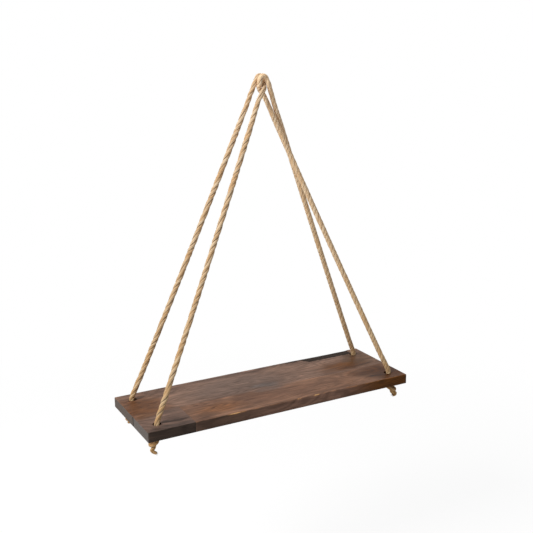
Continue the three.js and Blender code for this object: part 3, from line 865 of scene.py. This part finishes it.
# %% [markdown]
# ### Staves
# A stave's top and underside are one grid with square openings for its holes. `build_stave` lays
# the grid, and the two functions after it close the mesh: one goes round the edge, and one fills
# the space between a square opening and its round hole.

# %% Stave
GRID_X, GRID_Y, STRIP_GRID = 1.9 * MM, 2.2 * MM, 0.6 * MM


def build_stave(name, x0, x1, y0, y1, arris, holes, material):
    """A closed stave between four sides. arris gives the rounding at left, right, front, back."""
    left, right_, front, rear = arris
    hole_x = [(h[0] - HOLE_HALF, h[0] + HOLE_HALF, HOLE_STEPS) for h in holes]
    bands = {(round(h[1] - HOLE_HALF, 6), round(h[1] + HOLE_HALF, 6), HOLE_STEPS) for h in holes}
    bands = sorted(bands)
    if rear == ARRIS:
        bands.append((bands[0][1], y1 - rear, STRIP_GRID))
    if front == ARRIS:
        bands.insert(0, (y0 + front, y0 + front + WEAR_REACH, 2))
    xs = grid_lines(x0 + left, x1 - right_, GRID_X, hole_x)
    ys = grid_lines(y0 + front, y1 - rear, GRID_Y, bands)

    def near_hole(x, y):
        """Which points lie inside the square round a hole."""
        near = HOLE_HALF - 1e-7
        inside = [(np.abs(x - h[0]) < near) & (np.abs(y - h[1]) < near) for h in holes]
        return np.any(inside, axis=0)

    gx, gy = np.meshgrid(xs, ys, indexing="ij")
    middles = np.meshgrid((xs[1:] + xs[:-1]) / 2, (ys[1:] + ys[:-1]) / 2, indexing="ij")
    keep = ~near_hole(gx, gy)
    index = np.where(keep, np.cumsum(keep).reshape(keep.shape) - 1, -1)
    count = int(keep.sum())
    depth, missed = missed_depth(gx, gy) if rear == ARRIS else (0 * gx, 0 * gx)
    wear = front_wear(gx) * (1 - smooth_step(gy - y0 - front, 0, WEAR_REACH)) * (front == ARRIS)
    top = top_height(gx, gy, depth)
    i, j = np.nonzero(~near_hole(*middles))
    cells = np.stack([index[i, j], index[i + 1, j], index[i + 1, j + 1], index[i, j + 1]], 1)
    patches = Patches()
    patches.add(np.stack([gx, gy, top], -1)[keep], cells, missed=missed[keep], wear=wear[keep],
                end=0.0)
    under = np.stack([gx, gy, np.full(gx.shape, BOTTOM_Z)], -1)[keep]
    patches.add(under, cells[:, ::-1], missed=0.0, wear=0.0, end=0.0)
    add_edge(patches, (gx, gy, top), index, count, (x0, x1, y0, y1), arris, missed)
    for hole in holes:
        add_hole(patches, gx, gy, index, count, *hole)
    piece = patches.build(name, material)
    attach(piece, "shelf")
    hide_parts(name.replace("board_", ""))
    return piece


def border_loop(nx, ny):
    """Grid indices once round the border, counterclockwise seen from above."""
    front = [(i, 0) for i in range(nx - 1)]
    right_ = [(nx - 1, j) for j in range(ny - 1)]
    rear = [(i, ny - 1) for i in range(nx - 1, 0, -1)]
    left = [(0, j) for j in range(ny - 1, 0, -1)]
    return np.array(front + right_ + rear + left)


def join_rows(patches, loops, rows, outwards, **values):
    """Adds rows of points, and faces between each loop of point numbers and the next."""
    first, n = patches.count, len(loops[0])
    chain = [loops[0]] + [first + k * n + np.arange(n) for k in range(len(rows))] + [loops[1]]
    patches.add(np.vstack(rows), **values)
    quads = [np.stack([a, np.roll(a, -1), np.roll(b, -1), b], 1)[:, ::outwards]
             for a, b in zip(chain[:-1], chain[1:])]
    patches.quads[-1] = np.vstack(quads)
    patches.uvs[-1] = np.zeros((len(patches.quads[-1]), 4, 2))


print("grid of the board", GRID_X, GRID_Y)

# %% Edge and holes
ARRIS_TURNS = np.radians([22, 45, 68, 90])
CORNER_SPREAD, WEAR_CUT, END_FACE = 1.4 * MM, 0.35 * MM, (0.6, 0.8)
PLAIN_WEAR, WALL_WEAR, UNDER_WEAR, RIM_DARK, WALL_DARK = 0.3, 0.35, 0.3, 0.35, 0.6
WALL_SHARES, RING_SHARES, RIM_TURNS = (0.07, 0.3, 0.55, 0.8), (0.3, 0.6, 0.85, 1.0), (30, 60, 90)
HOLE_WALL_SHARES, HOLE_UNDER_SHARES = (0.33, 0.67, 1.0), (1.0, 0.6, 0.3)


def add_edge(patches, grids, index, count, sides, arris, missed):
    """Rows of points round the edge, from the top's border over the arris down to the underside.

    Offset = (n_x r_x, n_y r_y) sin a and drop = r (1 - cos a), where n turns smoothly at a corner,
    and wear cuts the arris back by sin 2a times its depth."""
    gx, gy, top = grids
    x0, x1, y0, y1 = sides
    left, right_, front, rear = arris
    bi, bj = border_loop(*gx.shape).T
    px, py, high, missed = gx[bi, bj], gy[bi, bj], top[bi, bj], missed[bi, bj]
    to_right, to_rear = px > (x0 + x1) / 2, py > (y0 + y1) / 2
    reach_x, reach_y = np.where(to_right, right_, left), np.where(to_rear, rear, front)
    from_x = np.minimum(px - (x0 + left), x1 - right_ - px)
    from_y = np.minimum(py - (y0 + front), y1 - rear - py)
    near_x, near_y = (0.5 * np.clip(1 - v / CORNER_SPREAD, 0, 1) for v in (from_x, from_y))
    share = np.where(from_x < 1e-7, 1 - near_y, near_x)
    nx = np.sin(share * math.pi / 2) * np.where(to_right, 1, -1)
    ny = np.cos(share * math.pi / 2) * np.where(to_rear, 1, -1)
    reach = nx**2 * reach_x + ny**2 * reach_y
    bare = reach > 0.6 * ARRIS
    on_front = (py < y0 + front + 1e-6) & (front == ARRIS)
    wear = np.where(on_front, front_wear(px), PLAIN_WEAR * bare)
    end_face = smooth_step(np.abs(nx), *END_FACE) * (reach_x == ARRIS)
    rows, values = [], []
    for a in ARRIS_TURNS:
        cut = WEAR_CUT * wear * math.sin(2 * a) * bare
        x, y = px + (math.sin(a) * reach_x - cut) * nx, py + (math.sin(a) * reach_y - cut) * ny
        rows.append(np.stack([x, y, high - reach * (1 - math.cos(a)) - cut], 1))
        values.append((missed, wear * (1 if a < 1.3 else 0.6), end_face * (a > 1.1)))
    lower = [np.stack([px + math.sin(a) * reach_x * nx, py + math.sin(a) * reach_y * ny,
                       BOTTOM_Z + reach * (1 - math.cos(a))], 1) for a in ARRIS_TURNS[::-1]]
    above = rows[-1]
    for k, down in enumerate(WALL_SHARES):
        rows.append(above * (1 - down) + lower[0] * down)
        values.append((missed * (1 - down) ** 2, WALL_WEAR * wear * (k == 0), end_face))
    for k, row in enumerate(lower):
        rows.append(row)
        values.append((0 * missed, UNDER_WEAR * wear * (k > 0), end_face * (k < 2)))
    missed, wear, end = (np.concatenate([v[c] for v in values]) for c in range(3))
    borders = index[bi, bj], index[bi, bj] + count
    join_rows(patches, borders, rows, -1, missed=missed, wear=wear, end=end)


def add_hole(patches, gx, gy, index, count, hx, hy):
    """Rings from the square round a hole to its rim, over a small rounding and down the wall.

    Between square and rim a ring is their mix, and on the rounding radius = R + r (1 - sin a)."""
    ix = np.nonzero(np.abs(gx[:, 0] - hx) < HOLE_HALF + 1e-6)[0]
    iy = np.nonzero(np.abs(gy[0] - hy) < HOLE_HALF + 1e-6)[0]
    li, lj = (border_loop(len(ix), len(iy)) + (ix[0], iy[0])).T
    px, py = gx[li, lj] - hx, gy[li, lj] - hy
    angle = np.arctan2(py, px)
    rows, marks = [], []

    def add_ring(share, radius, z, mark):
        """A ring that is a share of the way from the square to a circle, at a height."""
        x = px * (1 - share) + radius * np.cos(angle) * share + hx
        y = py * (1 - share) + radius * np.sin(angle) * share + hy
        if z is None:
            depth, mark = missed_depth(x, y) if hy > 0 else (0 * x, 0 * x)
            z = top_height(x, y, depth)
        rows.append(np.stack([x, y, z + 0 * x], 1))
        marks.append(mark + 0 * x)

    for share in RING_SHARES:
        add_ring(share, HOLE_RADIUS + HOLE_RIM, None, None)
    level = rows[-1][:, 2]
    # The rim and the wall take part of the missed strip's dark tone, darker further down the hole.
    for a in np.radians(RIM_TURNS):
        radius = HOLE_RADIUS + HOLE_RIM * (1 - math.sin(a))
        add_ring(1, radius, level - HOLE_RIM * (1 - math.cos(a)), RIM_DARK)
    wall_top = rows[-1][:, 2]
    for share in HOLE_WALL_SHARES:
        wall = wall_top * (1 - share) + (BOTTOM_Z + HOLE_RIM) * share
        add_ring(1, HOLE_RADIUS, wall, WALL_DARK)
    for share in HOLE_UNDER_SHARES:
        add_ring(share, HOLE_RADIUS + HOLE_RIM, BOTTOM_Z, 0)
    borders = index[li, lj], index[li, lj] + count
    join_rows(patches, borders, rows, 1, missed=np.concatenate(marks), wear=0.0, end=0.0)


print("rows round an edge", 2 * len(ARRIS_TURNS) + len(WALL_SHARES))

# %% [markdown]
# ## Stained wood
# The board is a plain hardwood, planed, stained dark and rubbed with oil. The eye sees a thin satin
# sheen at a low angle, curved growth lines, short dark pores, and cloudy patches where the stain
# took differently: rusty at the left end, golden near the right end. The grey in the middle is
# painted sheen, and dark streaks beside three holes are painted shadows of the ropes. End grain
# drank more stain and is nearly black. Growth lines are contour lines of a noise that is stretched
# along the board, which gives the nested curves that a saw makes in real wood. They are drawn 2 to
# 8 mm apart. Fibre lines are drawn about 3 mm apart, and pores, really about 0.2 mm wide, about 1
# mm wide, because finer ones wouldn't show. Noise scales are cells per millimetre.

# %% Wood material
DEEPER, PALER = (0.42, 0.38, 0.35, 1), (1.5, 1.45, 1.4, 1)
GROWTH_LINES, SPOT_WANDER, SPOT_EDGES = 22, (44, 22, 0), (1.25, 0.35)
FRONT_TONES = ((-110.0, 10.0, "765b4e"), (85.0, 165.0, "563104"))
WOOD_NOISES = (
    ("contour", (0.0045, 0.022, 0.022), 2.0, 0.45, 0.5),
    ("mottle", (0.035, 0.17, 0.17), 4.0, 0.65, 0.6), ("fibre", (0.012, 0.36, 0.36), 5.0, 0.7, 0.2),
    ("pores", (0.06, 0.8, 0.8), 3.0, 0.7, 0.0), ("cloud", (0.014, 0.03, 0.03), 3.0, 0.5, 0.4),
    ("saw", (0.05, 1.3, 1.3), 4.0, 0.7, 0.0), ("end_rings", (0.1, 0.35, 1.2), 5.0, 0.65, 0.5))
WOOD_RELIEF, WORN_TONES, FRONT_REACH = 0.10 * MM, ("9a6a44", "dcae74"), (0.9, 0.2)


def stained_wood(name, tones, spots, shift, front_tone, end_tone):
    """Stained wood: ground and growth lines, then soft spots of other tones, pores, bare worn
    arrises, dark end grain and the charcoal of the missed strip. Places are in mm.

    Each spot is (tone, centre x, centre y, half length, half depth, share), and each layer is
    (value, where its tone starts, where it is full, its share, tone), where a tone of numbers
    multiplies the colour and any other covers it."""
    material, tree = empty_material(name)
    node = partial(add_node, tree)
    place = node("TexCoord", output="Object")
    mm = node("Mapping", {"Vector": place, "Scale": (1 / MM, 1 / MM, 1 / MM)})
    own = node("Mapping", {"Vector": mm, "Location": shift})
    noises = {}
    for key, scale, detail, rough, distort in WOOD_NOISES:
        stretched = node("Mapping", {"Vector": own, "Scale": scale})
        noises[key] = node("TexNoise", {"Vector": stretched, "Scale": 1, "Detail": detail,
                                        "Roughness": rough, "Distortion": distort})
    contour, mottle, fibre, pores, cloud, saw, end_rings = noises.values()
    lines = node("Math", [contour, 2 * math.pi * GROWTH_LINES], operation="MULTIPLY")
    lines = node("Math", [lines], operation="SINE")
    colour = node("MapRange", [cloud, 0.36, 0.64], **SMOOTH)
    colour = node("Mix", {0: colour, 6: tones[0], 7: tones[1]}, **COLOURS)
    wander = node("Mapping", {"Vector": own, "Scale": (0.03, 0.05, 0.05)})
    wander = node("TexNoise", {"Vector": wander, "Scale": 1, "Detail": 3}, output="Color")
    wander = node("VectorMath", [wander, (0.5, 0.5, 0.5)], operation="SUBTRACT")
    wander = node("VectorMath", [wander, SPOT_WANDER, mm], operation="MULTIPLY_ADD")
    for tone, x, y, wide, tall, share in spots:
        far = node("Mapping", {"Vector": wander, "Location": (-x / wide, -y / tall, 0),
                               "Scale": (1 / wide, 1 / tall, 0)})
        far = node("VectorMath", [far], output="Value", operation="LENGTH")
        mask = node("MapRange", [far, *SPOT_EDGES, 0.0, share], **SMOOTH)
        colour = node("Mix", {0: mask, 6: colour, 7: tone}, **COLOURS)
    x, y = (node("SeparateXYZ", [mm], output=axis) for axis in ("X", "Y"))
    front = [reach - HALF_DEPTH / MM for reach in FRONT_REACH]
    front = node("MapRange", [y, *front, 0.0, 0.9])
    for low, high, tone in FRONT_TONES:
        to_right = node("MapRange", [x, low, high], **SMOOTH)
        front_tone = node("Mix", {0: to_right, 6: front_tone, 7: tone}, **COLOURS)
    colour = node("Mix", {0: front, 6: colour, 7: front_tone}, **COLOURS)
    wear, end, missed = (node("Attribute", output="Fac", attribute_name=key)
                         for key in ("wear", "end", "missed"))
    rubbed = node("MapRange", [mottle, 0.35, 0.6, 0.45, 1.0])
    rubbed = node("Math", [wear, rubbed], operation="MULTIPLY")
    rings = node("Mix", {0: end_rings, 6: "332c29", 7: end_tone}, **COLOURS)
    to_seam = node("Math", [y, SEAM_Y / MM, 1.5], operation="COMPARE")
    outwards = node("Math", [x], operation="ABSOLUTE")
    outwards = node("Math", [outwards, HALF_LENGTH / MM - 0.7], operation="GREATER_THAN")
    joint = node("Math", [to_seam, outwards], operation="MULTIPLY")
    charcoal = node("MapRange", [saw, 0.4, 0.72], **SMOOTH)
    charcoal = node("Mix", {0: charcoal, 6: "1e1713", 7: "483b33"}, **COLOURS)
    for value, low, high, share, tone in (
            (lines, 0.1, 0.95, 0.35, DEEPER), (lines, -0.3, -1.0, 0.3, PALER),
            (mottle, 0.5, 0.7, 0.5, PALER), (mottle, 0.48, 0.3, 0.5, DEEPER),
            (fibre, 0.52, 0.7, 0.75, PALER), (fibre, 0.48, 0.3, 0.75, DEEPER),
            (pores, 0.44, 0.26, 0.8, DEEPER), (rubbed, 0.25, 0.5, 0.45, WORN_TONES[0]),
            (rubbed, 0.6, 0.9, 0.9, WORN_TONES[1]), (end, 0.2, 0.8, 1.0, rings),
            (missed, 0.2, 0.8, 1.0, charcoal), (joint, 0.2, 0.8, 0.9, "15110f")):
        blend = "MULTIPLY" if isinstance(tone, tuple) else "MIX"
        mask = node("MapRange", [value, low, high, 0.0, share], **SMOOTH)
        colour = node("Mix", {0: mask, 6: colour, 7: tone}, blend_type=blend, **COLOURS)
    rough = node("MapRange", [cloud, 0.3, 0.7, 0.58, 0.47])
    matt = node("Math", [missed, end], operation="MAXIMUM")
    rough = node("Math", [matt, 0.3, rough], operation="MULTIPLY_ADD", use_clamp=True)
    relief = node("Math", [saw, missed], operation="MULTIPLY")
    relief = node("Math", [relief, 2.0, pores], operation="MULTIPLY_ADD")
    relief = node("Math", [lines, 0.12, relief], operation="MULTIPLY_ADD")
    bump = node("Bump", {"Height": relief, "Distance": WOOD_RELIEF, "Strength": 0.7})
    surface = node("BsdfPrincipled", {
        "Base Color": colour, "Roughness": rough, "Normal": bump, "Specular IOR Level": 0.1})
    node("OutputMaterial", {"Surface": surface})
    return material


print("noises in the wood", [row[0] for row in WOOD_NOISES])

# %% [markdown]
# ### Tones of the three staves
# Each stave has its own ground tones and spots of other tones. Most are where the real one's stain
# differs, but grey spots in the middle are painted sheen, and dark streaks beside three holes are
# painted shadows of the ropes. The last three values move the noise, so that the grain doesn't run
# on from one stave to the next, and give the tones of its front face and its end grain.

# %% Stave tones
back_wood = stained_wood("stained_back_stave", ("6a5245", "7f6353"), (
    # The grey spots at x -40 and x -4 are painted sheen.
    ("613c20", -192, 16, 42, 44, 0.9), ("64544c", -40, 22, 100, 42, 0.6),
    ("44312a", -26, 62, 96, 5.5, 0.7), ("5a330a", 150, 14, 48, 24, 0.9),
    ("78460c", 152, 19, 20, 8, 0.8), ("523720", 192, 26, 36, 34, 0.8),
    ("432a1a", 168, 2, 34, 9, 0.6), ("5e5a58", -4, 4, 24, 10, 0.5), ("2b211d", -186, 50, 9, 3, 0.7),
    # The dark spot at x 202, right of the back right hole, is a painted shadow of the rope.
    ("33281f", 202, 47, 4, 8, 0.6), ("35231a", 86, 67, 19, 7.5, 0.85)),
    (0, 0, 0), "4f3a2e", "7c7169")
front_wood = stained_wood("stained_front_stave", ("6a4d3d", "7f5d48"), (
    ("754a28", -95, -42, 46, 18, 0.75), ("6c4d3c", 10, -38, 80, 24, 0.5),
    # The grey spot at x 2 is painted sheen.
    ("5a5654", 2, -15, 26, 7, 0.4), ("4a2d1a", 160, -30, 30, 14, 0.7),
    ("422203", 192, -42, 44, 42, 0.95), ("241812", -102, -36.5, 3.2, 1.8, 1.0),
    # The dark streak at x 174, beside the front right hole, is a painted shadow of the rope.
    ("2e1a0a", 174, -51, 16, 5, 0.7), ("38281f", -126, -54, 18, 12, 0.4)),
    (300, 90, 40), "544238", "6b625c")
dark_wood = stained_wood("dark_short_stave", ("5f4b41", "6e564a"), (
    ("6c482e", -204, -14, 24, 14, 0.75), ("443630", -175, -68, 56, 12, 0.75),
    # The dark streak at x -168, right of the front left hole, is a painted shadow of the rope.
    ("2c1b10", -168, -48, 24, 4.6, 0.85)), (700, 40, 10), "392f29", "857e79")
print("wood materials", back_wood.name, front_wood.name, dark_wood.name)

# %% Board pieces
staves = [
    build_stave("board_back_stave", -HALF_LENGTH, HALF_LENGTH, SEAM_Y, HALF_DEPTH,
                (ARRIS, ARRIS, GLUE_ARRIS, ARRIS), [(-HOLE_X, HOLE_Y), (HOLE_X, HOLE_Y)],
                back_wood),
    build_stave("board_front_stave_long", JOINT_X, HALF_LENGTH, -HALF_DEPTH, SEAM_Y,
                (GLUE_ARRIS, ARRIS, ARRIS, GLUE_ARRIS), [(HOLE_X, -HOLE_Y)],
                front_wood),
    build_stave("board_front_stave_short", -HALF_LENGTH, JOINT_X, -HALF_DEPTH, SEAM_Y,
                (ARRIS, GLUE_ARRIS, ARRIS, GLUE_ARRIS), [(-HOLE_X, -HOLE_Y)],
                dark_wood),
]
print("board points", [len(p.data.vertices) for p in staves])

# %% [markdown]
# ## Floor and light
# The photograph's ground is plain white. A floor lit until it is white would light the board far
# too strongly from below, so the pale floor and the world only glow where the camera or a
# reflection looks at them. The floor keeps some of its own shading, so the shelf's soft shadow
# stays on it, and it fades to plain white far away. One large soft light stands at the upper left,
# where the ropes are brightest, and one hangs overhead.

# %% Floor
FLOOR_Z, FLOOR_HALF, FLOOR_GLOW, FLOOR_PLAIN, FLOOR_FADE = -0.8, 4, 0.45, 0.6, (0.7, 1.5)
WHITE = (1, 1, 1, 1)


def looked_at(tree):
    """One where the camera, a mirror reflection or clear glass looks, zero for other light."""
    seen, glossy, clear = (add_node(tree, "LightPath", output=f"Is {kind} Ray")
                           for kind in ("Camera", "Glossy", "Transmission"))
    seen = add_node(tree, "Math", [seen, glossy], operation="MAXIMUM")
    return add_node(tree, "Math", [seen, clear], operation="MAXIMUM")


floor_paint, tree = empty_material("pale_matt_floor")
node = partial(add_node, tree)
paint = node("BsdfDiffuse", {"Color": "cfcfcf"})
glow = node("Emission", {"Color": WHITE, "Strength": FLOOR_GLOW})
glowing = node("AddShader", [paint, glow])
white = node("Emission", {"Color": WHITE, "Strength": 1.0})
far = node("VectorMath", [node("NewGeometry")], output="Value", operation="LENGTH")
far = node("MapRange", [far, *FLOOR_FADE, FLOOR_PLAIN], **SMOOTH)
glowing = node("MixShader", [far, glowing, white])
surface = node("MixShader", [looked_at(tree), paint, glowing])
node("OutputMaterial", {"Surface": surface})
floor_mesh = bpy.data.meshes.new("floor")
square = ((-1, -1), (1, -1), (1, 1), (-1, 1))
floor_corners = [(x * FLOOR_HALF, y * FLOOR_HALF, FLOOR_Z) for x, y in square]
floor_mesh.from_pydata(floor_corners, [], [(0, 1, 2, 3)])
floor_mesh.materials.append(floor_paint)
link_object("floor", floor_mesh)
print("floor at", FLOOR_Z, "m")

# %% World and lights
WORLD_LIGHT = 0.34
world = bpy.data.worlds.new("studio")
world.use_nodes = True
bpy.context.scene.world = world
tree = world.node_tree
tree.nodes.clear()
node = partial(add_node, tree)
dim = node("Background", {"Color": WHITE, "Strength": WORLD_LIGHT})
white = node("Background", {"Color": WHITE, "Strength": 1.0})
shown = node("MixShader", [looked_at(tree), dim, white])
node("OutputWorld", {"Surface": shown})


def soft_light(name, where, towards, size, power):
    """A square area light that faces a point."""
    data = bpy.data.lights.new(name, "AREA")
    data.size, data.energy = size, power
    light = link_object(name, data)
    light.location = where
    facing = Vector(towards) - Vector(where)
    light.rotation_euler = facing.to_track_quat("-Z", "Y").to_euler()
    return light


lights = [
    soft_light("left_light", (-1.9, -0.35, 0.9), (0, 0, -0.35), 1.0, 40),
    soft_light("top_light", (0.3, 0.4, 1.5), (0, 0, -0.45), 1.4, 15),
]
bpy.context.scene.view_settings.view_transform = "Standard"
print("lights", [light.name for light in lights])
